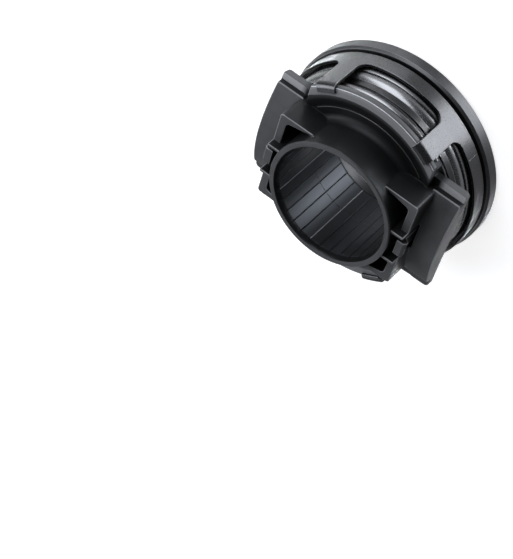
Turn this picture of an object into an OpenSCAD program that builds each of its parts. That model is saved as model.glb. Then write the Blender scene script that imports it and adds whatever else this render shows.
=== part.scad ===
// Clutch release bearing: a nylon guide sleeve with fork pads carries a
// ball bearing, held on by a sheet steel clip.
// The part stands on its contact face, with the guide bore upright on Z.
// The fork pads lie on the X sides.

/* [Guide sleeve] */
// Diameter of the bore that runs on the guide tube
bore_d = 37; // [33:0.5:44]
// Wall of the hub behind the flange
hub_wall = 2.5; // [1.9:0.1:3.4]
// Wall of the nose that passes through the bearing
nose_wall = 1.7; // [1.2:0.1:2.4]
// Depth of the nose's end below the contact face
nose_recess = 5.1; // [3.5:0.1:8]
// Length of the hub beyond the flange rim
hub_l = 11.3; // [9:0.1:16]
// Depth of the funnel at the hub's end of the bore
funnel_depth = 1.5; // [0.6:0.1:2.5]
// How far the funnel widens the bore
funnel_w = 0.8; // [0.4:0.1:1.4]
// Thickness of the flange from its front face to the rim
flange_t = 5.8; // [4.8:0.1:8]
// Height of the rim's outer wall
rim_h = 2.3; // [1.6:0.1:3]
// Width of the raised rim
rim_w = 2.6; // [1.8:0.1:3.4]
// Overhang of the rim past the flange's wall
rim_lip = 1.5; // [0.8:0.1:2]
// Depth of the dished back below the rim
dish_depth = 1.5; // [0.8:0.1:2]
// Number of grooves along the bore
groove_count = 32; // [12:1:36]
// Angle of the first bore groove
groove_turn = 4; // [0:0.5:15]
// Width of each bore groove
groove_w = 0.35; // [0.2:0.05:0.9]
// Depth of each bore groove
groove_depth = 0.25; // [0.15:0.05:0.5]

/* [Fork pads] */
// Width of a pad outside the rib frame
pad_w = 8.2; // [6:0.1:10]
// Length of a crowned pad
pad_l = 34; // [30:0.5:36]
// Height of the crown above the flange's front face
pad_h = 7.8; // [7:0.1:10]
// Radius of the crown
crown_r = 42; // [36:1:70]
// Thickness of the plate under the pads
plate_t = 2.4; // [1.8:0.1:3]
// Ledge of the plate in front of the pad
ledge_front = 2.6; // [1.5:0.1:3.5]
// Ledge of the plate behind the pad
ledge_back = 3.7; // [1.5:0.1:4.5]

/* [Rib frame] */
// Reach of the frame's side wall beyond the hub
frame_reach = 3.4; // [3:0.1:5]
// How far the end ribs stand inside the hub's outline
frame_inset = 4.4; // [3.5:0.1:6]
// Drop from the hub's end to the top of the frame
frame_drop = 3.6; // [2:0.1:4.5]
// Thickness of the frame's side walls
frame_wall = 2.6; // [2:0.1:3]
// Thickness of the end ribs at the side wall
end_rib_t = 2.5; // [1.8:0.1:3]
// Thickness of the end ribs at the hub
end_rib_tip = 0.8; // [0.5:0.1:1.6]
// Thickness of the two middle ribs
mid_rib_t = 0.9; // [0.7:0.1:1.5]
// Clear width between the middle ribs
mid_gap = 10; // [8.5:0.1:12]
// Width of the snap lug between the middle ribs
lug_w = 5.6; // [4:0.1:6.5]
// Rise of the snap lug above the frame
lug_rise = 1.6; // [1:0.1:2]
// Reach of the snap lug's nose beyond the frame wall
lug_nose = 1.1; // [0.8:0.1:2]
// Height of the snap lug's nose
lug_nose_h = 2.6; // [2.2:0.1:3]

/* [Ball bearing] */
// Diameter of a ball
ball_d = 6.35; // [5.5:0.05:7]
// Number of balls
ball_count = 18; // [12:1:20]
// Wall of the inner ring under the raceway
inner_wall = 2.4; // [1.8:0.1:3]
// Wall of the outer ring over the raceway
outer_wall = 2.35; // [1.8:0.05:3]
// Step from the outer ring's front band down to its rear band
outer_step = 1.6; // [1:0.1:1.6]
// How far the front band runs past the middle of the balls
band_over = 1.4; // [0.8:0.1:1.8]
// Radius of the round shoulder between the two bands
band_round = 3; // [1.8:0.1:3.2]
// Height of the raceway shoulders
shoulder_h = 1.6; // [1.2:0.1:1.9]
// Radius of the raceway grooves as a share of the ball's diameter
race_ratio = 0.52; // [0.515:0.005:0.54]
// Thickness of the cage between its faces and its ball pockets
cage_rim = 0.8; // [0.6:0.1:1.2]
// Thickness of the seals
seal_t = 0.8; // [0.6:0.1:1]
// Depth of the seal seats in the outer ring's shoulders
seal_seat = 0.9; // [0.5:0.1:1.2]
// Width of the spring washer
spring_w = 2.9; // [2.2:0.1:3.5]
// Thickness of the spring washer's sheet
spring_t = 0.5; // [0.3:0.1:0.8]
// Loaded height of the spring washer
spring_h = 1.2; // [0.9:0.1:1.5]

/* [Contact ring] */
// Thickness of the contact ring
contact_t = 4.6; // [4:0.1:7]
// Overhang of the contact ring past the clip
contact_overhang = 1.1; // [0.6:0.1:2.5]
// Step on the inner ring that the contact ring seats against
spigot_step = 0.8; // [0.5:0.1:1.2]
// Width of the inner ring's lip inside the brown ring
inner_lip_w = 0.5; // [0.4:0.1:0.8]
// Width of the brown ring in the contact face
face_ring_w = 3.5; // [3.3:0.1:4.5]
// Thickness of the brown ring
face_ring_t = 1.6; // [1:0.1:2.2]

/* [Retaining clip] */
// Thickness of the clip's sheet
clip_t = 0.8; // [0.6:0.1:1.2]
// Height of the clip's collar
collar_h = 4.9; // [3:0.1:6]
// How far the clip's lip covers the front of the outer ring
lip_cover = 1.6; // [1:0.1:2.2]
// Width of each arm round the clip
arm_w = 6.6; // [4:0.1:8]
// Angle of each arm from the front and back of the part
arm_angle = 31.2; // [29:0.1:35]
// Radius where an arm runs into the collar
arm_fillet = 3.4; // [1.5:0.1:4]
// Length of the hooks over the rim
hook_l = 1.9; // [1.4:0.1:2.2]
// Outer radius of the bend into a hook
hook_bend = 1.9; // [1.4:0.1:2.2]

/* [Clearances] */
// Sideways room of the bearing round the sleeve's nose
nose_room = 1; // [0.7:0.1:1.5]
// Sideways room of the bearing inside the clip
clip_room = 0.7; // [0.6:0.1:1.2]
// Gap between the contact ring and the clip
contact_gap = 1.2; // [0.8:0.1:2]
// Gap between the rim and the clip's arms
rim_gap = 0.4; // [0.1:0.1:0.6]
// Gap between the clip's arms and the pad plates
arm_gap = 1.3; // [0.8:0.1:1.6]
// Running play of a ball in its raceways
ball_play = 0.06; // [0.03:0.01:0.1]
// Play of a ball in its cage pocket
pocket_play = 0.15; // [0.1:0.05:0.3]
// Gap between faces that seat on each other
seat_gap = 0.02; // [0.01:0.01:0.05]
// Gap under a seal's lip and beside the cage
lip_gap = 0.3; // [0.2:0.05:0.4]

/* [Hidden] */
$fn = 96;
// Overlap of a cutter past the face that it opens
cut = 1;

// Radii, from the bore outwards
bore_r = bore_d / 2;
hub_r = bore_r + hub_wall;
nose_r = bore_r + nose_wall;
inner_bore_r = nose_r + nose_room;
ball_r = ball_d / 2;
race_in_r = inner_bore_r + inner_wall;
pitch_r = race_in_r + ball_play + ball_r;
race_out_r = pitch_r + ball_r + ball_play;
inner_shoulder_r = race_in_r + shoulder_h;
outer_shoulder_r = race_out_r - shoulder_h;
outer_r = race_out_r + outer_wall;
outer_rear_r = outer_r - outer_step;
clip_in_r = outer_r + clip_room;
clip_out_r = clip_in_r + clip_t;
contact_r = clip_out_r + contact_overhang;
rim_r = clip_in_r - rim_gap;
flange_r = rim_r - rim_lip;
seal_seat_r = outer_shoulder_r + seal_seat;
contact_seat_r = inner_shoulder_r - spigot_step;
inner_lip_r = inner_bore_r + inner_lip_w;
face_ring_r = inner_bore_r + face_ring_w;
race_r = race_ratio * ball_d;

// Heights, from the contact face upwards
cage_half = ball_r + pocket_play + cage_rim;
clip_z = contact_t + contact_gap;
outer_z = clip_z + clip_t + seat_gap;
outer_l = 2 * (cage_half + lip_gap + seal_t + seat_gap);
ball_z = outer_z + outer_l / 2;
outer_end_z = outer_z + outer_l;
flange_z = outer_end_z + spring_h + 2 * seat_gap;
rim_z = flange_z + flange_t;
hub_z = rim_z + hub_l;
collar_z = clip_z + collar_h;
frame_z = hub_z - frame_drop;
crown_z = flange_z + pad_h;
pocket_z = flange_z + plate_t;
inner_seat_z = face_ring_t + seat_gap;
inner_end_z = outer_end_z - lip_gap;

// Plan sizes of the rib frame and the pads
frame_x = hub_r + frame_reach;
frame_y = hub_r - frame_inset;
pad_x = frame_x + pad_w;
arm_half = arm_w / 2 / clip_out_r * 180 / PI;
flange_x = clip_out_r * sin(arm_angle + arm_half) + arm_gap;
wall_x = frame_x - frame_wall;
rib_y = mid_gap / 2;

// Chamfer of the bearing rings' corners
ring_edge = 0.5;
// Chamfer at the nose's end of the guide bore
lead_in = 0.3;
// Chamfer round the outside of the hub's end
hub_edge = 0.3;
// How far the brown ring and the lip inside it lie below the contact face
face_recess = 0.1;
// How deep a rib is rooted in the body that carries it
rib_root = 0.5;

// Ring about Z with a rectangular section
module ring(r_in, r_out, z_low, z_high) {
    rotate_extrude() translate([r_in, z_low]) square([r_out - r_in, z_high - z_low]);
}

// Box between two corners
module block(low, high) {
    translate(low) cube(high - low);
}

// Upright box with rounded vertical edges
module soft_block(low, high, r) {
    size = high - low;
    translate(low) linear_extrude(size.z) {
        translate([r, 0]) square([size.x - 2 * r, size.y]);
        translate([0, r]) square([size.x, size.y - 2 * r]);
        for (x = [r, size.x - r], y = [r, size.y - r]) translate([x, y]) circle(r);
    }
}

// Hub and nose, as one revolved wall round the bore
module sleeve_tube() {
    nose_edge = 0.6;
    rotate_extrude() polygon([
        [bore_r, nose_recess],
        [nose_r - nose_edge, nose_recess],
        [nose_r, nose_recess + nose_edge],
        [nose_r, flange_z],
        [hub_r, flange_z],
        [hub_r, hub_z - hub_edge],
        [hub_r - hub_edge, hub_z],
        [bore_r, hub_z]
    ]);
}

// Flange with a raised rim, a stepped dish and a fillet at the hub, flat beside the pads
module sleeve_flange() {
    edge = 0.35;
    rim_round = min(hook_bend - clip_t, rim_h / 2);
    brow_w = 0.8;
    brow_h = 0.5;
    step_h = 0.35;
    step_w = 0.2;
    step_share = 0.45;
    fillet = 2.4;
    foot_r = hub_r + fillet;
    floor_z = rim_z - dish_depth;
    rim_low_z = rim_z - rim_h;
    slope_r = rim_r - rim_w;
    step_r = foot_r + step_share * (slope_r - foot_r);
    round_r = rim_r - rim_round;
    round_z = rim_z - rim_round;
    intersection() {
        block([-flange_x, -contact_r, 0], [flange_x, contact_r, hub_z]);
        rotate_extrude() difference() {
            union() {
                polygon([
                    [nose_r, flange_z],
                    [flange_r, flange_z],
                    [flange_r, rim_low_z],
                    [rim_r - edge, rim_low_z],
                    [rim_r, rim_low_z + edge],
                    [rim_r, round_z],
                    [round_r, round_z],
                    [round_r, rim_z],
                    [slope_r, rim_z],
                    [slope_r - brow_w, rim_z - brow_h],
                    [step_r, floor_z + step_h],
                    [step_r - step_w, floor_z],
                    [foot_r, floor_z],
                    [foot_r, floor_z + fillet],
                    [nose_r, floor_z + fillet]
                ]);
                translate([round_r, round_z]) circle(rim_round);
            }
            translate([foot_r, floor_z + fillet]) circle(fillet);
        }
    }
}

// One side of the sleeve: plate, crowned pad, rib frame and snap lug
module fork_side() {
    pad_edge = 0.6;
    frame_edge = 1;
    pad_plate();
    difference() {
        union() {
            intersection() {
                soft_block([frame_x - frame_wall / 2, -pad_l / 2, flange_z],
                           [pad_x, pad_l / 2, crown_z + cut], pad_edge);
                translate([0, 0, crown_z - crown_r]) rotate([0, 90, 0])
                    cylinder(r = crown_r, h = pad_x + cut);
            }
            soft_block([0, -frame_y, flange_z], [frame_x, frame_y, frame_z], frame_edge);
        }
        for (turn = [0, 1]) mirror([0, turn, 0]) frame_pocket();
        mid_notch();
    }
    for (side = [-1, 1]) middle_rib(side * (rib_y + mid_rib_t / 2));
    snap_lug();
}

// Plate under a pad, with its front edge rounded off over its whole thickness
module pad_plate() {
    plate_edge = 1.4;
    front_y = -pad_l / 2 - ledge_front;
    back_y = pad_l / 2 + ledge_back;
    intersection() {
        soft_block([bore_r, front_y, flange_z], [pad_x, back_y, pocket_z + cut], plate_edge);
        rotate([90, 0, 90]) linear_extrude(pad_x + cut) {
            translate([front_y + plate_t, flange_z - cut]) square([back_y - front_y, plate_t + cut]);
            translate([front_y + plate_t, flange_z]) circle(plate_t);
        }
    }
}

// Pocket between the hub, the side wall, a middle rib and an end rib that thins towards the hub
module frame_pocket() {
    corner = 1.4;
    near_y = rib_y + mid_rib_t;
    far_y = frame_y - end_rib_t;
    tip_y = frame_y - end_rib_tip;
    tip_x = sqrt(hub_r * hub_r - tip_y * tip_y);
    lean = atan((tip_y - far_y) / (wall_x - tip_x));
    centre = [wall_x - corner, far_y - corner * (1 - sin(lean)) / cos(lean)];
    difference() {
        translate([0, 0, pocket_z]) linear_extrude(hub_z) {
            polygon([
                [0, near_y],
                [wall_x, near_y],
                [wall_x, centre.y],
                centre,
                centre + corner * [sin(lean), cos(lean)],
                [tip_x - cut, tip_y + cut * tan(lean)],
                [0, near_y + corner]
            ]);
            translate(centre) circle(corner);
        }
        cylinder(r = hub_r, h = pocket_z + hub_z + cut);
    }
}

// Deep opening between the middle ribs, out through the side wall
module mid_notch() {
    notch_over = 0.3;
    difference() {
        block([0, -rib_y, pocket_z], [frame_x + notch_over, rib_y, hub_z + cut]);
        cylinder(r = hub_r, h = hub_z + 2 * cut);
    }
}

// Thin rib that runs from the hub's end out to the frame's face
module middle_rib(y) {
    top_drop = 0.8;
    difference() {
        block([0, y - mid_rib_t / 2, pocket_z - rib_root],
              [frame_x, y + mid_rib_t / 2, hub_z - top_drop]);
        translate([0, 0, -cut]) cylinder(r = hub_r - hub_wall / 2, h = hub_z + 2 * cut);
    }
}

// Springy lug with a sloped nose that catches the fork
module snap_lug() {
    slope = 0.8;
    stem_back = 0.7;
    stem_front = 0.2;
    back_x = wall_x + stem_back;
    front_x = frame_x - stem_front;
    nose_x = frame_x + lug_nose;
    low_z = pocket_z - rib_root;
    top_z = frame_z + lug_rise;
    nose_z = top_z - lug_nose_h;
    translate([0, lug_w / 2, 0]) rotate([90, 0, 0]) linear_extrude(lug_w) polygon([
        [back_x, low_z],
        [front_x, low_z],
        [front_x, nose_z],
        [nose_x, nose_z + slope],
        [nose_x, top_z - slope],
        [nose_x - slope, top_z],
        [back_x, top_z]
    ]);
}

// Guide bore with its grooves, the funnel at the hub's end and the chamfer at the nose
module bore_cut() {
    funnel_over = cut * funnel_w / funnel_depth;
    translate([0, 0, -cut]) cylinder(r = bore_r, h = hub_z + 2 * cut);
    for (i = [0 : groove_count - 1])
        rotate(groove_turn + i * 360 / groove_count)
            block([bore_r - cut, -groove_w / 2, 0],
                  [bore_r + groove_depth, groove_w / 2, hub_z + cut]);
    translate([0, 0, hub_z - funnel_depth])
        cylinder(r1 = bore_r, r2 = bore_r + funnel_w + funnel_over, h = funnel_depth + cut);
    translate([0, 0, nose_recess - cut])
        cylinder(r1 = bore_r + lead_in + cut, r2 = bore_r, h = lead_in + cut);
}

module guide_sleeve() {
    color([0.10, 0.10, 0.11]) difference() {
        union() {
            sleeve_tube();
            sleeve_flange();
            fork_side();
            mirror([1, 0, 0]) fork_side();
        }
        bore_cut();
    }
}

// Section of the clip: front lip, collar and arm wall, bend and hook
module clip_section() {
    top_z = rim_z + seat_gap + clip_t;
    lip_w = clip_room + lip_cover;
    translate([clip_in_r - lip_w, clip_z]) square([lip_w + clip_t, clip_t]);
    translate([clip_in_r, clip_z]) square([clip_t, top_z - hook_bend - clip_z]);
    translate([clip_in_r - hook_l, top_z - clip_t]) square([hook_l + clip_t - hook_bend, clip_t]);
    intersection() {
        translate([clip_out_r - hook_bend, top_z - hook_bend]) difference() {
            circle(hook_bend);
            circle(hook_bend - clip_t);
        }
        translate([clip_out_r - hook_bend, top_z - hook_bend]) square(hook_bend);
    }
}

// Space between two arms, with round corners at the collar, cut from each arm to past the middle
module clip_window(centre, half) {
    reach = contact_r * sin(half);
    round_z = collar_z + arm_fillet;
    for (side = [-1, 1])
        rotate(centre - side * half) rotate([90, 0, 90]) linear_extrude(contact_r) {
            translate([side > 0 ? 0 : -reach, round_z]) square([reach, hub_z - round_z]);
            translate([side > 0 ? arm_fillet : -reach, collar_z])
                square([reach - arm_fillet, 2 * arm_fillet]);
            translate([side * arm_fillet, round_z]) circle(arm_fillet);
        }
}

module retaining_clip() {
    end_half = arm_angle - arm_half;
    side_half = 90 - arm_angle - arm_half;
    color([0.30, 0.30, 0.31]) difference() {
        rotate_extrude() clip_section();
        for (turn = [90, 270]) clip_window(turn, end_half);
        for (turn = [0, 180]) clip_window(turn, side_half);
    }
}

// Cone washer that presses the bearing forward against the clip's lip
module spring_washer() {
    low_z = outer_end_z + seat_gap;
    far_r = outer_rear_r - ring_edge;
    near_r = far_r - spring_w;
    color([0.45, 0.45, 0.46]) rotate_extrude() polygon([
        [near_r, low_z + spring_h],
        [near_r, low_z + spring_h - spring_t],
        [far_r, low_z],
        [far_r, low_z + spring_t]
    ]);
}

// Raceway groove round the ball path, with its centre moved by offset_r
module raceway(offset_r) {
    translate([pitch_r + offset_r, ball_z]) circle(race_r);
}

// Pressed outer ring with a wide front band, a round shoulder and a narrow rear band
module outer_ring() {
    band_end_z = ball_z + band_over;
    line_w = 0.4;
    line_drop = 0.6;
    seat_depth = seal_t + seat_gap;
    seat_w = seal_seat + cut;
    color([0.20, 0.20, 0.21]) rotate_extrude() difference() {
        union() {
            polygon([
                [outer_shoulder_r, outer_z],
                [outer_r - ring_edge, outer_z],
                [outer_r, outer_z + ring_edge],
                [outer_r, band_end_z],
                [outer_rear_r, band_end_z],
                [outer_rear_r, outer_end_z - ring_edge],
                [outer_rear_r - ring_edge, outer_end_z],
                [outer_shoulder_r, outer_end_z]
            ]);
            intersection() {
                translate([outer_r - band_round, band_end_z]) circle(band_round);
                translate([outer_rear_r - ring_edge, band_end_z - ring_edge])
                    square(band_round + ring_edge);
            }
        }
        raceway(ball_r + ball_play - race_r);
        translate([outer_r - line_w / 2, band_end_z - line_drop]) square(line_w);
        translate([outer_shoulder_r - cut, outer_z - cut]) square([seat_w, seat_depth + cut]);
        translate([outer_shoulder_r - cut, outer_end_z - seat_depth]) square([seat_w, seat_depth + cut]);
    }
}

// Flat rubber seal that sits in the outer ring
module seal_disc(z_low) {
    color([0.05, 0.05, 0.05])
        ring(inner_shoulder_r + lip_gap, seal_seat_r - seat_gap, z_low, z_low + seal_t);
}

module front_seal() {
    seal_disc(outer_z);
}

module rear_seal() {
    seal_disc(outer_end_z - seal_t);
}

// Inner ring with a spigot for the contact ring, and a thin lip inside the brown ring
module inner_ring() {
    color([0.16, 0.16, 0.17]) rotate_extrude() difference() {
        polygon([
            [inner_bore_r, face_recess],
            [inner_lip_r, face_recess],
            [inner_lip_r, inner_seat_z],
            [contact_seat_r - seat_gap, inner_seat_z],
            [contact_seat_r - seat_gap, contact_t + seat_gap],
            [inner_shoulder_r, contact_t + seat_gap],
            [inner_shoulder_r, inner_end_z - ring_edge],
            [inner_shoulder_r - ring_edge, inner_end_z],
            [inner_bore_r + ring_edge, inner_end_z],
            [inner_bore_r, inner_end_z - ring_edge]
        ]);
        raceway(race_r - ball_r - ball_play);
    }
}

// Flat steel ring that meets the diaphragm spring's fingers
module contact_ring() {
    front_edge = 0.5;
    rear_edge = 0.7;
    color([0.22, 0.22, 0.22]) rotate_extrude() polygon([
        [face_ring_r + seat_gap, 0],
        [contact_r - front_edge, 0],
        [contact_r, front_edge],
        [contact_r, contact_t - rear_edge],
        [contact_r - rear_edge, contact_t],
        [contact_seat_r, contact_t],
        [contact_seat_r, face_ring_t],
        [face_ring_r + seat_gap, face_ring_t]
    ]);
}

// Brown ring set just below the contact face
module face_ring() {
    edge = 0.25;
    near_r = inner_lip_r + seat_gap;
    color([0.42, 0.22, 0.17]) rotate_extrude() polygon([
        [near_r + edge, face_recess],
        [face_ring_r - edge, face_recess],
        [face_ring_r, face_recess + edge],
        [face_ring_r, face_ring_t - seat_gap],
        [near_r, face_ring_t - seat_gap],
        [near_r, face_recess + edge]
    ]);
}

// Moves its children to the place of one ball
module at_ball(i) {
    rotate((i - 1) * 360 / ball_count) translate([pitch_r, 0, ball_z]) children();
}

module ball_cage() {
    color([0.35, 0.28, 0.18]) difference() {
        ring(inner_shoulder_r + lip_gap, outer_shoulder_r - lip_gap,
             ball_z - cage_half, ball_z + cage_half);
        for (i = [1 : ball_count]) at_ball(i) sphere(ball_r + pocket_play);
    }
}

module ball(i) {
    color([0.75, 0.75, 0.76]) at_ball(i) sphere(ball_r);
}

guide_sleeve();
retaining_clip();
spring_washer();
outer_ring();
front_seal();
rear_seal();
inner_ring();
contact_ring();
face_ring();
ball_cage();
for (i = [1 : ball_count]) ball(i);
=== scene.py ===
import math

import bmesh
import bpy
from mathutils import Matrix, Vector


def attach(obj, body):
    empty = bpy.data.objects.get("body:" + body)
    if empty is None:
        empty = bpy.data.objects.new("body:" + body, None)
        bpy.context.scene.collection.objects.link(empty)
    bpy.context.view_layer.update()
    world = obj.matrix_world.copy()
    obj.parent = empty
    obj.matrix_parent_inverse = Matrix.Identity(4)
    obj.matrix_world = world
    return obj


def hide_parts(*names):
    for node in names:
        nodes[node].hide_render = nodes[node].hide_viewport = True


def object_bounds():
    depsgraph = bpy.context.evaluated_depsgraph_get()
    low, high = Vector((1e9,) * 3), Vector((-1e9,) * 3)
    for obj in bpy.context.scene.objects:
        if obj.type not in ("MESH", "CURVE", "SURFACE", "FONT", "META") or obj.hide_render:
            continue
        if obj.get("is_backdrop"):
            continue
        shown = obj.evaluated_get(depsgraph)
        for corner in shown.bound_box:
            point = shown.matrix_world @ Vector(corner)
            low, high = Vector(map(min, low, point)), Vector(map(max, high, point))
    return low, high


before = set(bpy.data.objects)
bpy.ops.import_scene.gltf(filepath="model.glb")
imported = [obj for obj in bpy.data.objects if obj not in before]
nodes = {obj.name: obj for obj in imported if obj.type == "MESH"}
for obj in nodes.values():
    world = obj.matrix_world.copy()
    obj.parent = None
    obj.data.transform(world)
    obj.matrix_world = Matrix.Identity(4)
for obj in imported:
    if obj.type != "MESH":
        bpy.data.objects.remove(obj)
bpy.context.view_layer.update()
mm = 0.001
cadWeld, pieceWeld = 2e-6, 1e-7  # points closer than this are merged


def addNode(tree, kind, values=None, **settings):
    node = tree.nodes.new(kind)
    for name, value in settings.items():
        setattr(node, name, value)
    setSockets(tree, node, values or {})
    return node


def setSockets(tree, node, values):
    for socket, value in values.items():
        if isinstance(value, bpy.types.NodeSocket):
            tree.links.new(value, node.inputs[socket])
        else:
            node.inputs[socket].default_value = value


def addMath(tree, operation, first, second, clamp=False):
    inputs = {0: first, 1: second}
    return addNode(tree, "ShaderNodeMath", inputs, operation=operation, use_clamp=clamp).outputs[0]


def addProduct(tree, first, *others):
    for other in others:
        first = addMath(tree, "MULTIPLY", first, other)
    return first


def addHighest(tree, first, *others):
    for other in others:
        first = addMath(tree, "MAXIMUM", first, other)
    return first


def addMix(tree, share, low, high):
    low, high = (c if isinstance(c, bpy.types.NodeSocket) else (*c, 1) for c in (low, high))
    return addNode(tree, "ShaderNodeMix", {0: share, 6: low, 7: high}, data_type="RGBA").outputs[2]


def addRange(tree, value, fromMin, fromMax, toMin=0.0, toMax=1.0):
    limits = {"Value": value, "From Min": fromMin, "From Max": fromMax, "To Min": toMin, "To Max": toMax}
    return addNode(tree, "ShaderNodeMapRange", limits).outputs[0]


def newGroup(name, inputs, outputs):
    tree = bpy.data.node_groups.new(name, "ShaderNodeTree")
    for socket, kind, value in inputs:
        fresh = tree.interface.new_socket(name=socket, in_out="INPUT", socket_type=kind)
        if value is not None:
            fresh.default_value = value
    for socket, kind in outputs:
        tree.interface.new_socket(name=socket, in_out="OUTPUT", socket_type=kind)
    return tree, tree.nodes.new("NodeGroupInput").outputs, tree.nodes.new("NodeGroupOutput").inputs


def useGroup(tree, group, values):
    node = tree.nodes.new("ShaderNodeGroup")
    node.node_tree = group
    setSockets(tree, node, values)
    return node.outputs


# shared effects: fine grain and blotches
grainSet = {"Fine": ("Scale", 3.0), "Cloud": ("Blotch", 4.0)}  # each output's scale and detail
grainTone = {"roughness": 0.6, "contrast": (0.3, 0.7)}
grainGroup, gIn, gOut = newGroup("surfaceGrain", [
    ("Vector", "NodeSocketVector", None), ("Scale", "NodeSocketFloat", 1500.0),
    ("Blotch", "NodeSocketFloat", 90.0)],
    [(name, "NodeSocketFloat") for name in grainSet])
for name, (scale, detail) in grainSet.items():
    noise = addNode(grainGroup, "ShaderNodeTexNoise", {
        "Vector": gIn["Vector"], "Scale": gIn[scale], "Detail": detail, "Roughness": grainTone["roughness"]})
    grainGroup.links.new(addRange(grainGroup, noise.outputs[0], *grainTone["contrast"]), gOut[name])

# rounded normals at edges, and a mask of those edges
edgeGroup, eIn, eOut = newGroup("softEdge", [
    ("Radius", "NodeSocketFloat", 0.0003), ("Gain", "NodeSocketFloat", 6.0)],
    [("Mask", "NodeSocketFloat"), ("Normal", "NodeSocketVector")])
rounded = addNode(edgeGroup, "ShaderNodeBevel", {"Radius": eIn["Radius"]}, samples=6).outputs[0]
flat = addNode(edgeGroup, "ShaderNodeNewGeometry").outputs["Normal"]
turn = addNode(edgeGroup, "ShaderNodeVectorMath", {0: rounded, 1: flat}, operation="DOT_PRODUCT")
away = addMath(edgeGroup, "SUBTRACT", 1.0, turn.outputs["Value"])
edgeGroup.links.new(addMath(edgeGroup, "MULTIPLY", away, eIn["Gain"], True), eOut["Mask"])
edgeGroup.links.new(rounded, eOut["Normal"])

# zones of the sleeve, which carry painted light and shade: raised faces with paler tops, the rim painted
# paler on its top and the line on its edge as a painted highlight, the pads, the plates' ledges with painted
# highlights on their tops and the hub's foot darkened as painted shade in its crease; places in metres, Up is
# how far a face looks upwards, the last two of four are shares
zoneSet = {"raisedLow": 0.0239, "raisedUp": (0.55, 0.9), "padSide": (0.0236, 0.0256),
           "rimLow": 0.0222, "rimSlope": (0.0280, 0.0296, 0.0, 0.35), "rimCrest": (0.0296, 0.0300),
           "rimUp": (0.75, 0.97, 0.30, 0.85),
           "lineReach": (0.0316, 0.0318), "lineRise": (0.60, 0.70), "lineFall": (0.80, 0.70),
           "footReach": 0.0238, "footTop": 0.0254, "ledgeBack": -0.0172, "ledgeUp": (0.3, 0.9, 0.2, 1.0)}
zoneNames = ("Raised", "Rim", "Pad", "Line", "Foot", "Ledge")
zoneGroup, zIn, zOut = newGroup("sleeveZones", [("Vector", "NodeSocketVector", None)],
                                [(name, "NodeSocketFloat") for name in zoneNames])
spot = addNode(zoneGroup, "ShaderNodeSeparateXYZ", {0: zIn["Vector"]}).outputs
facing = addNode(zoneGroup, "ShaderNodeNewGeometry").outputs["Normal"]
up = addNode(zoneGroup, "ShaderNodeSeparateXYZ", {0: facing}).outputs["Z"]
aside = addNode(zoneGroup, "ShaderNodeMath", {0: spot["X"]}, operation="ABSOLUTE").outputs[0]
inPlan = {0: zIn["Vector"], 1: (1, 1, 0)}
level = addNode(zoneGroup, "ShaderNodeVectorMath", inPlan, operation="MULTIPLY").outputs[0]
reach = addNode(zoneGroup, "ShaderNodeVectorMath", {0: level}, operation="LENGTH").outputs["Value"]
pad = addRange(zoneGroup, aside, *zoneSet["padSide"])
above = addMath(zoneGroup, "GREATER_THAN", spot["Z"], zoneSet["raisedLow"])
raised = addProduct(zoneGroup, addHighest(zoneGroup, above, pad),
                    addRange(zoneGroup, up, *zoneSet["raisedUp"]))
band = addProduct(
    zoneGroup,
    addHighest(zoneGroup, addRange(zoneGroup, reach, *zoneSet["rimSlope"]),
               addRange(zoneGroup, reach, *zoneSet["rimCrest"])),
    addMath(zoneGroup, "GREATER_THAN", spot["Z"], zoneSet["rimLow"]),
    addMath(zoneGroup, "SUBTRACT", 1.0, pad))
rim = addProduct(zoneGroup, band, addRange(zoneGroup, up, *zoneSet["rimUp"]))
# a painted highlight along the rim's outer top edge
line = addProduct(
    zoneGroup, band,
    addRange(zoneGroup, up, *zoneSet["lineRise"]),
    addRange(zoneGroup, up, *zoneSet["lineFall"]),
    addRange(zoneGroup, reach, *zoneSet["lineReach"]))
# painted shade: the crease where the dish meets the hub
foot = addProduct(zoneGroup, addMath(zoneGroup, "LESS_THAN", reach, zoneSet["footReach"]),
                  addMath(zoneGroup, "LESS_THAN", spot["Z"], zoneSet["footTop"]))
ledge = addProduct(zoneGroup, addMath(zoneGroup, "LESS_THAN", spot["Y"], zoneSet["ledgeBack"]), pad,
                   addRange(zoneGroup, up, *zoneSet["ledgeUp"]))
for name, mask in zip(zoneNames, (raised, rim, pad, line, foot, ledge)):
    zoneGroup.links.new(mask, zOut[name])
print("shader groups:", len(bpy.data.node_groups))

coolTint = (0.985, 1.0, 1.035)


def cool(value):
    # a grey with a slight blue
    return tuple(value * tint for tint in coolTint)


plainLook = {"fleck": 0.2, "wear": 0.2, "bump": 0.05, "depth": 0.00003, "edgeRadius": 0.0002,
             "metallic": 0.0, "specular": 0.5, "shineTint": (1, 1, 1)}


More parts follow.
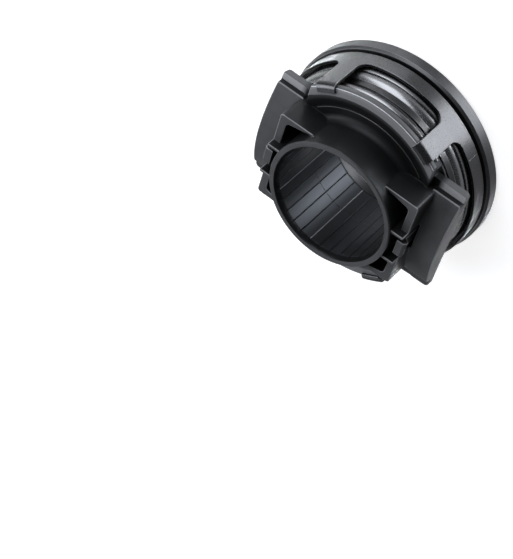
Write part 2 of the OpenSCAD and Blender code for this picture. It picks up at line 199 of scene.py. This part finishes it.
def finish(name, settings):
    # base colour with blotches, flecks and pale edges, and on the sleeve painted light and shade by zone;
    # roughness and bump follow the grain
    look = {**plainLook, **settings}
    mat = bpy.data.materials.new(name)
    mat.use_nodes = True
    tree = mat.node_tree
    shader = tree.nodes["Principled BSDF"]
    place = addNode(tree, "ShaderNodeTexCoord").outputs["Object"]
    fineScale, blotchScale = look["grain"]
    grain = useGroup(tree, grainGroup, {"Vector": place, "Scale": fineScale, "Blotch": blotchScale})
    edge = useGroup(tree, edgeGroup, {"Radius": look["edgeRadius"]})
    base = addMix(tree, grain["Cloud"], look["dark"], look["light"])
    colour = addMix(tree, addProduct(tree, grain["Fine"], look["fleck"]), base, look["fleckColour"])
    rough = addRange(tree, grain["Fine"], 0.0, 1.0, *look["rough"])
    if "raised" in look:
        zone = useGroup(tree, zoneGroup, {"Vector": place})
        # painted light: raised faces and the pads are paler the more they look upwards
        paintedTopLight = addMix(tree, grain["Cloud"], *look["raised"])
        colour = addMix(tree, zone["Raised"], colour, paintedTopLight)
        # rim and ledge tops are painted paler as painted light, the hub's foot darker as painted shade
        for mask, tone in (("Rim", "rim"), ("Ledge", "ledge"), ("Foot", "foot")):
            colour = addMix(tree, zone[mask], colour, look[tone])
        wearAndSheen = addNode(tree, "ShaderNodeAttribute", attribute_name="wearAndSheen").outputs["Fac"]
        # pale line: the rim edge's painted highlight, and on rounded edges a line that is partly wear and
        # partly painted highlight
        streak = addHighest(tree, zone["Line"], addProduct(tree, wearAndSheen, look["wearAndSheenShare"]))
        streak = addProduct(tree, streak, addRange(tree, grain["Fine"], 0.0, 1.0, *look["lineGrain"]))
        colour = addMix(tree, streak, colour, look["line"])
        matt = addHighest(tree, zone["Raised"], zone["Rim"], zone["Pad"], zone["Foot"])
        both = {0: matt, 2: rough, 3: look["raisedRough"]}
        rough = addNode(tree, "ShaderNodeMix", both, data_type="FLOAT").outputs[0]
    # a band above a given height is coloured darker: the outer ring's rear band
    if "rear" in look:
        height = addNode(tree, "ShaderNodeSeparateXYZ", {0: place}).outputs["Z"]
        colour = addMix(tree, addRange(tree, height, *look["rearSpan"]), colour, look["rear"])
    colour = addMix(tree, addProduct(tree, edge["Mask"], look["wear"]), colour, look["edgeColour"])
    bump = addNode(tree, "ShaderNodeBump", {
        "Height": grain["Fine"], "Normal": edge["Normal"], "Strength": look["bump"],
        "Distance": look["depth"]})
    setSockets(tree, shader, {
        "Base Color": colour, "Roughness": rough, "Normal": bump.outputs[0], "Metallic": look["metallic"],
        "Specular IOR Level": look["specular"], "Specular Tint": (*look["shineTint"], 1)})
    return mat


finishes = {
    "sleeveNylon": {"dark": cool(0.004), "light": cool(0.0065), "fleckColour": cool(0.015),
                    "edgeColour": cool(0.10), "wear": 0.1, "edgeRadius": 0.0003, "grain": (3200, 120),
                    "rough": (0.30, 0.36), "specular": 0.22, "shineTint": (0.90, 0.96, 1.0),
                    # raised and rim: painted light, paler on faces that look upwards
                    "raised": (cool(0.045), cool(0.065)), "raisedRough": 0.5, "rim": cool(0.185),
                    # ledge: a painted highlight on the ledges' tops; foot: painted shade at the hub's foot;
                    # line: a painted highlight
                    "ledge": cool(0.30), "foot": cool(0.003), "line": cool(0.85), "lineGrain": (0.5, 1.0),
                    "wearAndSheenShare": 0.22},
    "boreNylon": {"dark": cool(0.006), "light": cool(0.009), "fleckColour": cool(0.02),
                  "edgeColour": cool(0.05), "grain": (6000, 120), "rough": (0.38, 0.42), "bump": 0.03,
                  "shineTint": (0.80, 0.88, 1.0)},
    "browHighlightNylon": {"dark": cool(0.03), "light": cool(0.04), "fleckColour": cool(0.05),
                  "edgeColour": cool(0.08), "grain": (3200, 120), "rough": (0.34, 0.40),
                  "edgeRadius": 0.0001, "specular": 0.4},
    "grooveHighlightNylon": {"dark": cool(0.20), "light": cool(0.26), "fleckColour": cool(0.3), "edgeColour": cool(0.3),
                  "grain": (3200, 120), "rough": (0.34, 0.40), "edgeRadius": 0.0001, "specular": 0.4},
    "clipSteel": {"dark": cool(0.046), "light": cool(0.056), "fleckColour": cool(0.14),
                  "edgeColour": cool(0.45), "fleck": 0.4, "wear": 0.6, "grain": (4200, 110),
                  "rough": (0.26, 0.34), "metallic": 1.0},
    "ringSteel": {"dark": cool(0.155), "light": cool(0.175), "fleckColour": cool(0.2),
                  "edgeColour": cool(0.3), "fleck": 0.1, "wear": 0.1, "grain": (3000, 60),
                  "rough": (0.24, 0.28), "bump": 0.0, "metallic": 1.0, "rear": cool(0.05),
                  "rearSpan": (0.0147, 0.0150)},
    "bandSteel": {"dark": cool(0.14), "light": cool(0.16), "fleckColour": cool(0.2), "edgeColour": cool(0.2),
                  "fleck": 0.1, "grain": (3000, 60), "rough": (0.24, 0.28), "bump": 0.0, "metallic": 1.0},
    "innerSteel": {"dark": cool(0.035), "light": cool(0.05), "fleckColour": cool(0.08),
                   "edgeColour": cool(0.15), "fleck": 0.1, "grain": (3000, 60), "rough": (0.4, 0.46),
                   "bump": 0.0, "metallic": 1.0},
    "contactSteel": {"dark": cool(0.045), "light": cool(0.056), "fleckColour": cool(0.14),
                     "edgeColour": cool(0.35), "fleck": 0.35, "wear": 0.6, "grain": (3600, 140),
                     "rough": (0.36, 0.46), "bump": 0.1, "edgeRadius": 0.00025, "metallic": 1.0},
    "faceBrown": {"dark": (0.15, 0.055, 0.035), "light": (0.20, 0.075, 0.05),
                  "fleckColour": (0.26, 0.12, 0.09), "edgeColour": (0.3, 0.15, 0.12), "fleck": 0.3,
                  "wear": 0.3, "grain": (3000, 200), "rough": (0.65, 0.8), "bump": 0.2, "depth": 0.00005,
                  "specular": 0.3},
    "springSteel": {"dark": cool(0.15), "light": cool(0.19), "fleckColour": cool(0.3),
                    "edgeColour": cool(0.4), "wear": 0.3, "grain": (2600, 80), "rough": (0.28, 0.4),
                    "edgeRadius": 0.0001, "metallic": 1.0},
    "sealRubber": {"dark": cool(0.012), "light": cool(0.02), "fleckColour": cool(0.04),
                   "edgeColour": cool(0.05), "grain": (2600, 150), "rough": (0.5, 0.65), "bump": 0.12,
                   "edgeRadius": 0.0001, "specular": 0.4},
    "cageNylon": {"dark": (0.22, 0.16, 0.08), "light": (0.30, 0.22, 0.12), "fleckColour": (0.36, 0.28, 0.18),
                  "edgeColour": (0.4, 0.32, 0.2), "grain": (2200, 160), "rough": (0.4, 0.55), "bump": 0.1,
                  "edgeRadius": 0.0001},
    "ballSteel": {"dark": cool(0.60), "light": cool(0.68), "fleckColour": cool(0.72), "edgeColour": cool(0.7),
                  "fleck": 0.15, "wear": 0.1, "grain": (5000, 200), "rough": (0.06, 0.1), "bump": 0.02,
                  "edgeRadius": 0.0001, "metallic": 1.0},
}
made = {name: finish(name, look) for name, look in finishes.items()}
dressed = {"guide_sleeve": "sleeveNylon", "retaining_clip": "clipSteel", "spring_washer": "springSteel",
           "outer_ring": "ringSteel", "front_seal": "sealRubber", "rear_seal": "sealRubber",
           "inner_ring": "innerSteel", "contact_ring": "contactSteel", "face_ring": "faceBrown",
           "ball_cage": "cageNylon"}
for name, node in nodes.items():
    node.data.materials.clear()
    node.data.materials.append(made[dressed.get(name, "ballSteel")])
print("finishes:", len(made))


def newPiece(name, bm, look):
    # a new piece on its body, with its finish
    bmesh.ops.remove_doubles(bm, verts=bm.verts, dist=pieceWeld)
    bmesh.ops.recalc_face_normals(bm, faces=bm.faces)
    mesh = bpy.data.meshes.new(name)
    bm.to_mesh(mesh)
    bm.free()
    mesh.materials.append(made[look["finish"]])
    piece = bpy.data.objects.new(name, mesh)
    bpy.context.scene.collection.objects.link(piece)
    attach(piece, look["body"])
    if "node" in look:
        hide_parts(look["node"])
    print("piece:", name, len(mesh.polygons), "faces")
    return piece


def shaded(name, bm, look):
    # smooth but for the edges over the limit; flat faces keep their flat look
    for face in bm.faces:
        face.smooth = True
    for edge in bm.edges:
        edge.smooth = edge.is_manifold and edge.calc_face_angle() < math.radians(look["sharp"])
    piece = newPiece(name, bm, look)
    even = piece.modifiers.new("evenShade", "WEIGHTED_NORMAL")
    even.keep_sharp = True
    even.weight = 100


def squareLedge(bm, look):
    # draws a ledge's quarter-round front out to a flat front and top that meet in an edge
    front, top, depth, side, near = (look[key] * mm for key in ("front", "top", "depth", "side", "near"))
    cornerLow, cornerHigh = (math.radians(turn) for turn in look["corner"])
    middleY, middleZ = front + depth, top - depth
    for vert in bm.verts:
        out, rise = middleY - vert.co.y, vert.co.z - middleZ
        if abs(vert.co.x) < side or out <= 0 or abs(math.hypot(out, rise) - depth) > near:
            continue
        turn = math.atan2(rise, out)
        vert.co.y = front if turn < cornerHigh else middleY - depth / math.tan(turn)
        vert.co.z = top if turn > cornerLow else middleZ + depth * math.tan(turn)


def softCopy(name, look):
    # a copy of a CAD node with its outer edges truly rounded, and the middle of each rounding marked for a
    # pale line that is partly wear and partly painted highlight
    bm = bmesh.new()
    bm.from_mesh(nodes[look["node"]].data)
    wearAndSheen = bm.verts.layers.float.new("wearAndSheen")
    rounded = bm.faces.layers.int.new("rounded")
    bmesh.ops.remove_doubles(bm, verts=bm.verts, dist=cadWeld)
    squareLedge(bm, look["ledge"])
    bmesh.ops.remove_doubles(bm, verts=bm.verts, dist=cadWeld)
    bmesh.ops.dissolve_limit(bm, angle_limit=math.radians(look["flat"]), verts=bm.verts, edges=bm.edges)
    for width, chosen in look["rounds"]:
        edges = [e for e in bm.edges if e.is_manifold and e.is_convex
                 and all(chosen(v.co / mm) for v in e.verts)
                 and e.calc_face_angle() > math.radians(look["angle"])]
        fresh = bmesh.ops.bevel(bm, geom=edges, offset=width * mm, offset_type="OFFSET", affect="EDGES",
                                segments=look["segments"], profile=0.5, material=-1, clamp_overlap=False)
        for face in fresh["faces"]:
            face[rounded] = face.calc_area() < look["thin"] * width * mm * face.calc_perimeter()
    # vertices inside a rounding carry the pale line, partly wear and partly painted highlight
    for vert in bm.verts:
        vert[wearAndSheen] = float(all(face[rounded] for face in vert.link_faces))
    shaded(name, bm, look)


def arc(centre, radius, start, end, count):
    # points of a section's arc, from angle to angle
    turns = [math.radians(start + (end - start) * i / count) for i in range(count + 1)]
    return [(centre[0] + radius * math.cos(a), centre[1] + radius * math.sin(a)) for a in turns]


def bar(inner, outer, low, high):
    # a section with four corners
    return [(inner, low), (outer, low), (outer, high), (inner, high)]


def spun(bm, section, steps, angle=math.tau, start=0.0):
    # spins a closed section of radius and height about the bore's axis
    points = [bm.verts.new((r * mm, 0, z * mm)) for r, z in section]
    bmesh.ops.rotate(bm, verts=points, cent=(0, 0, 0), matrix=Matrix.Rotation(start, 3, "Z"))
    edges = [bm.edges.new(pair) for pair in zip(points, points[1:] + points[:1])]
    bmesh.ops.spin(bm, geom=points + edges, cent=(0, 0, 0), axis=(0, 0, 1), angle=angle, steps=steps,
                   use_merge=angle == math.tau, use_duplicate=False)


# sleeve: full rounding on pads and plates, a finer one on the ribs and on the ledges' front edges; the bore
# and the dish keep their edges
sleeveSet = {"node": "guide_sleeve", "body": "sleeve", "slot": "sleeve_nylon", "finish": "sleeveNylon",
             "angle": 55, "sharp": 40, "flat": 1, "segments": 3, "thin": 0.35,
             "ledge": {"front": -19.6, "top": 20.75, "depth": 2.4, "side": 18, "near": 0.02,
                       "corner": (40, 50)},
             "padSide": 23.2, "ribSide": 24, "ribFoot": 24.05, "plateLow": 17, "hubReach": 19.5,
             "ledgeBack": -17.3, "ledgeTop": 20.9, "lipFront": -18, "lipLow": 20.5, "lipSide": 18}


def offLedge(p):
    return p.y > sleeveSet["ledgeBack"] or p.z > sleeveSet["ledgeTop"]


def onPad(p):
    return abs(p.x) > sleeveSet["padSide"] and offLedge(p)


def onRib(p):
    clear = math.hypot(p.x, p.y) > sleeveSet["hubReach"] and p.z > sleeveSet["plateLow"]
    return clear and (abs(p.x) > sleeveSet["ribSide"] or p.z > sleeveSet["ribFoot"]) and offLedge(p)


def onLip(p):
    level = sleeveSet["lipLow"] < p.z < sleeveSet["ledgeTop"]
    return level and p.y < sleeveSet["lipFront"] and abs(p.x) > sleeveSet["lipSide"]


sleeveSet["rounds"] = [(0.36, onPad), (0.28, onRib), (0.30, onLip)]
softCopy("softSleeve", sleeveSet)

# outer ring: a sloped band under the collar, a groove and a rounded shoulder before the rear band
ringSet = {"node": "outer_ring", "body": "bearing", "slot": "ring_steel", "finish": "ringSteel", "sharp": 35,
           "steps": 180}
ringSet["section"] = (
    [(29.37, 6.62), (31.92, 6.62), (32.42, 7.12), (32.42, 10.5)]
    + arc((31.70, 11.42), 0.23, 30, 90, 5)
    + [(31.25, 11.66), (31.25, 12.5)]
    + arc((28.06, 11.93), 3.9, 9, 45, 14)
    + [(30.80, 14.85), (30.80, 17.0), (30.69, 17.11), (29.37, 17.11), (29.37, 16.29), (28.47, 16.29)]
    + arc((26.768, 11.87), 3.302, 59, -59, 20)
    + [(28.47, 7.44), (29.37, 7.44)])
bm = bmesh.new()
spun(bm, ringSet["section"], ringSet["steps"])
shaded("smoothRing", bm, ringSet)

# bore: strips between its grooves, parted once round the middle
stripSet = {"body": "sleeve", "slot": "sleeve_nylon", "finish": "boreNylon", "sharp": 35, "steps": 4,
            "count": 32, "turn": 4.0, "gap": 0.34, "inner": 18.40, "outer": 18.46, "low": 6.05, "high": 33.73,
            "parting": (17.20, 17.30)}
pitch = math.tau / stripSet["count"]
gap = stripSet["gap"] / stripSet["inner"]
below, beyond = stripSet["parting"]
bm = bmesh.new()
for low, high in ((stripSet["low"], below), (beyond, stripSet["high"])):
    section = bar(stripSet["inner"], stripSet["outer"], low, high)
    for i in range(stripSet["count"]):
        start = math.radians(stripSet["turn"]) + i * pitch + gap / 2
        spun(bm, section, stripSet["steps"], pitch - gap, start)
bmesh.ops.holes_fill(bm, edges=bm.edges, sides=len(section))
shaded("boreStrips", bm, stripSet)

# trims: a fine raised line round the dish, paler than the dish as a painted highlight, and a bright band
# under the rim, both front and back, and pale ridges in some of the bore's grooves as painted highlights
trimSet = {
    "browLine": {"body": "sleeve", "slot": "sleeve_nylon", "finish": "browHighlightNylon", "sharp": 35, "steps": 60,
                 "half": 46, "turns": (-90, 90),
                 "section": [(25.05, 22.60), (25.20, 22.78), (25.35, 22.78), (25.50, 22.60)]},
    "flangeBand": {"body": "sleeve", "slot": "clip_steel", "finish": "bandSteel", "sharp": 35, "steps": 60,
                   "half": 40, "turns": (-90, 90),
                   "section": [(31.10, 19.35), (31.70, 19.35)]
                   + arc((29.436, 19.083), 2.4, 10, 38, 8) + [(31.10, 20.56)]},
    "boreLines": {"body": "sleeve", "slot": "sleeve_nylon", "finish": "grooveHighlightNylon", "sharp": 35, "steps": 2,
                  "half": 0.32, "turns": [stripSet["turn"] + math.degrees(pitch) * i for i in (2, 7, 18, 23)],
                  "section": bar(18.38, stripSet["outer"], stripSet["low"], stripSet["high"])}}
for name, trim in trimSet.items():
    bm = bmesh.new()
    half = math.radians(trim["half"])
    for middle in trim["turns"]:
        spun(bm, trim["section"], trim["steps"], 2 * half, math.radians(middle) - half)
    bmesh.ops.holes_fill(bm, edges=bm.edges, sides=len(trim["section"]))
    shaded(name, bm, trim)

# collar seam: the thin lapped edge of the clip's sheet
seamSet = {"body": "sleeve", "slot": "clip_steel", "finish": "clipSteel", "angle": -140.0, "radius": 33.93,
           "size": (0.10, 0.30, 4.0), "middle": 8.35, "round": 0.03}
bm = bmesh.new()
bmesh.ops.create_cube(bm, size=mm)
bmesh.ops.scale(bm, verts=bm.verts, vec=seamSet["size"])
bmesh.ops.translate(bm, verts=bm.verts, vec=(seamSet["radius"] * mm, 0, seamSet["middle"] * mm))
bmesh.ops.rotate(bm, verts=bm.verts, cent=(0, 0, 0),
                 matrix=Matrix.Rotation(math.radians(seamSet["angle"]), 3, "Z"))
bmesh.ops.bevel(bm, geom=bm.edges[:], offset=seamSet["round"] * mm, affect="EDGES", segments=2, profile=0.5,
                material=-1)
newPiece("collarSeam", bm, seamSet)

# floor: white to the eye and pale in reflections, with the part's own soft shadow on it; beneath the part its
# glow is dimmed as a painted shadow, and away from the part the glow rises to full
floorSet = {"size": 3.0, "colour": (0.60, 0.60, 0.60, 1), "glow": 0.74, "mirrored": 0.25,
            "under": (0.021, 0.036), "underGlow": 0.12, "far": (0.15, 0.8), "farGlow": 1.0}
bm = bmesh.new()
bmesh.ops.create_grid(bm, x_segments=1, y_segments=1, size=floorSet["size"])
floorMesh = bpy.data.meshes.new("floor")
bm.to_mesh(floorMesh)
bm.free()
floor = bpy.data.objects.new("floor", floorMesh)
bpy.context.scene.collection.objects.link(floor)
floor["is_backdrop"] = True
mat = bpy.data.materials.new("paleFloor")
mat.use_nodes = True
tree = mat.node_tree
tree.nodes.clear()
rays = addNode(tree, "ShaderNodeLightPath").outputs
mirrored = addProduct(tree, rays["Is Glossy Ray"], floorSet["mirrored"])
seen = addHighest(tree, rays["Is Camera Ray"], rays["Is Transmission Ray"], mirrored)
place = addNode(tree, "ShaderNodeTexCoord").outputs["Object"]
reach = addNode(tree, "ShaderNodeVectorMath", {0: place}, operation="LENGTH").outputs["Value"]
# painted shadow: beneath the part the glow drops to underGlow; it rises from glow to farGlow away from the
# part
glow = addProduct(tree, seen, addRange(tree, reach, *floorSet["under"], floorSet["underGlow"]),
                  addRange(tree, reach, *floorSet["far"], floorSet["glow"], floorSet["farGlow"]))
shine = addNode(tree, "ShaderNodeEmission", {"Strength": glow})
matt = addNode(tree, "ShaderNodeBsdfDiffuse", {"Color": floorSet["colour"]})
both = addNode(tree, "ShaderNodeAddShader", {0: shine.outputs[0], 1: matt.outputs[0]})
clear = addNode(tree, "ShaderNodeBsdfTransparent")
backs = addNode(tree, "ShaderNodeNewGeometry").outputs["Backfacing"]
through = addHighest(tree, backs, rays["Is Shadow Ray"])
shown = addNode(tree, "ShaderNodeMixShader", {0: through, 1: both.outputs[0], 2: clear.outputs[0]})
addNode(tree, "ShaderNodeOutputMaterial", {"Surface": shown.outputs[0]})
floorMesh.materials.append(mat)
print("floor")

# light: a dim room and soft boxes, in metres; five shine up through the floor, which is a translucent table
roomSet = {"ambient": 0.12, "mirrored": 0.14, "colour": (0.93, 0.95, 1.0), "backdrop": (1, 1, 1)}
world = bpy.data.worlds.new("room")
bpy.context.scene.world = world
world.use_nodes = True
tree = world.node_tree
rays = addNode(tree, "ShaderNodeLightPath").outputs
seen = addHighest(tree, rays["Is Camera Ray"], rays["Is Transmission Ray"])
mirrored = addProduct(tree, rays["Is Glossy Ray"], roomSet["mirrored"])
setSockets(tree, tree.nodes["Background"], {
    "Color": addMix(tree, seen, roomSet["colour"], roomSet["backdrop"]),
    "Strength": addHighest(tree, mirrored, roomSet["ambient"], seen)})


def placed(name, data, place, aim, roll):
    # a lamp or the camera at its place, turned to its aim and then about its own axis
    obj = bpy.data.objects.new(name, data)
    facing = (aim - place).to_track_quat("-Z", "Y").to_matrix()
    obj.location = place
    obj.rotation_mode = "QUATERNION"
    obj.rotation_quaternion = (facing @ Matrix.Rotation(math.radians(roll), 3, "Z")).to_quaternion()
    bpy.context.scene.collection.objects.link(obj)
    return obj


plainLamp = {"aim": (0, 0, 0.015), "roll": 0, "colour": (0.965, 0.985, 1.03)}
lampSet = {
    "rightBox": {"place": (-0.264, -0.30, -0.285), "size": (0.28, 0.45), "shine": 6.6},
    "tableBox": {"place": (0.0385, -0.0385, -0.010), "aim": (0, 0, 0.06), "size": (0.062, 0.03),
                 "shine": 1.2},
    "frontBox": {"place": (0.25, -0.523, 0.17), "roll": 20, "size": (0.35, 0.76), "shine": 5.0},
    "leftBox": {"place": (0.355, 0.0, 0.345), "size": (0.30, 0.30), "shine": 5.6},
    "backBox": {"place": (-0.13, 0.25, 0.115), "size": (0.10, 0.10), "shine": 5.0},
    "skyBox": {"place": (0.10, 0.28, 0.275), "size": (0.25, 0.25), "shine": 1.0},
    "boreBox": {"place": (0.024, 0.004, -0.010), "aim": (-0.008, 0.017, 0.020), "size": (0.022, 0.022),
                "shine": 0.6},
    "sideBox": {"place": (0.056, -0.002, -0.010), "aim": (0.024, -0.020, 0.014), "size": (0.03, 0.03),
                "shine": 2.5},
    "farBox": {"place": (-0.07, 0.11, -0.08), "aim": (-0.033, 0, 0.02), "size": (0.10, 0.10), "shine": 1.0},
}
for name, settings in lampSet.items():
    lamp = {**plainLamp, **settings}
    place, aim = Vector(lamp["place"]), Vector(lamp["aim"])
    data = bpy.data.lights.new(name, "AREA")
    data.shape = "RECTANGLE"
    data.size, data.size_y = lamp["size"]
    data.energy = lamp["shine"] * math.pi * data.size * data.size_y
    data.color = lamp["colour"]
    # only shadow rays reach a lamp below the floor
    data.cycles.use_multiple_importance_sampling = place.z > 0
    placed(name, data, place, aim, lamp["roll"])
print("lamps:", len(lampSet))

# camera: where the photo was taken from
cameraSet = {"place": (-132.79, -387.61, 379.90), "aim": (22.549, 72.837, 15.0), "roll": -132.305,
             "lens": 120.0, "sensor": 36.0, "clip": (0.01, 20.0)}
data = bpy.data.cameras.new("photoCamera")
data.lens, data.sensor_width = cameraSet["lens"], cameraSet["sensor"]
data.clip_start, data.clip_end = cameraSet["clip"]
place, aim = (Vector(cameraSet[key]) * mm for key in ("place", "aim"))
bpy.context.scene.camera = placed("photoCamera", data, place, aim, cameraSet["roll"])
bpy.context.scene.view_settings.view_transform = "Standard"
print("camera")

low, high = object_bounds()
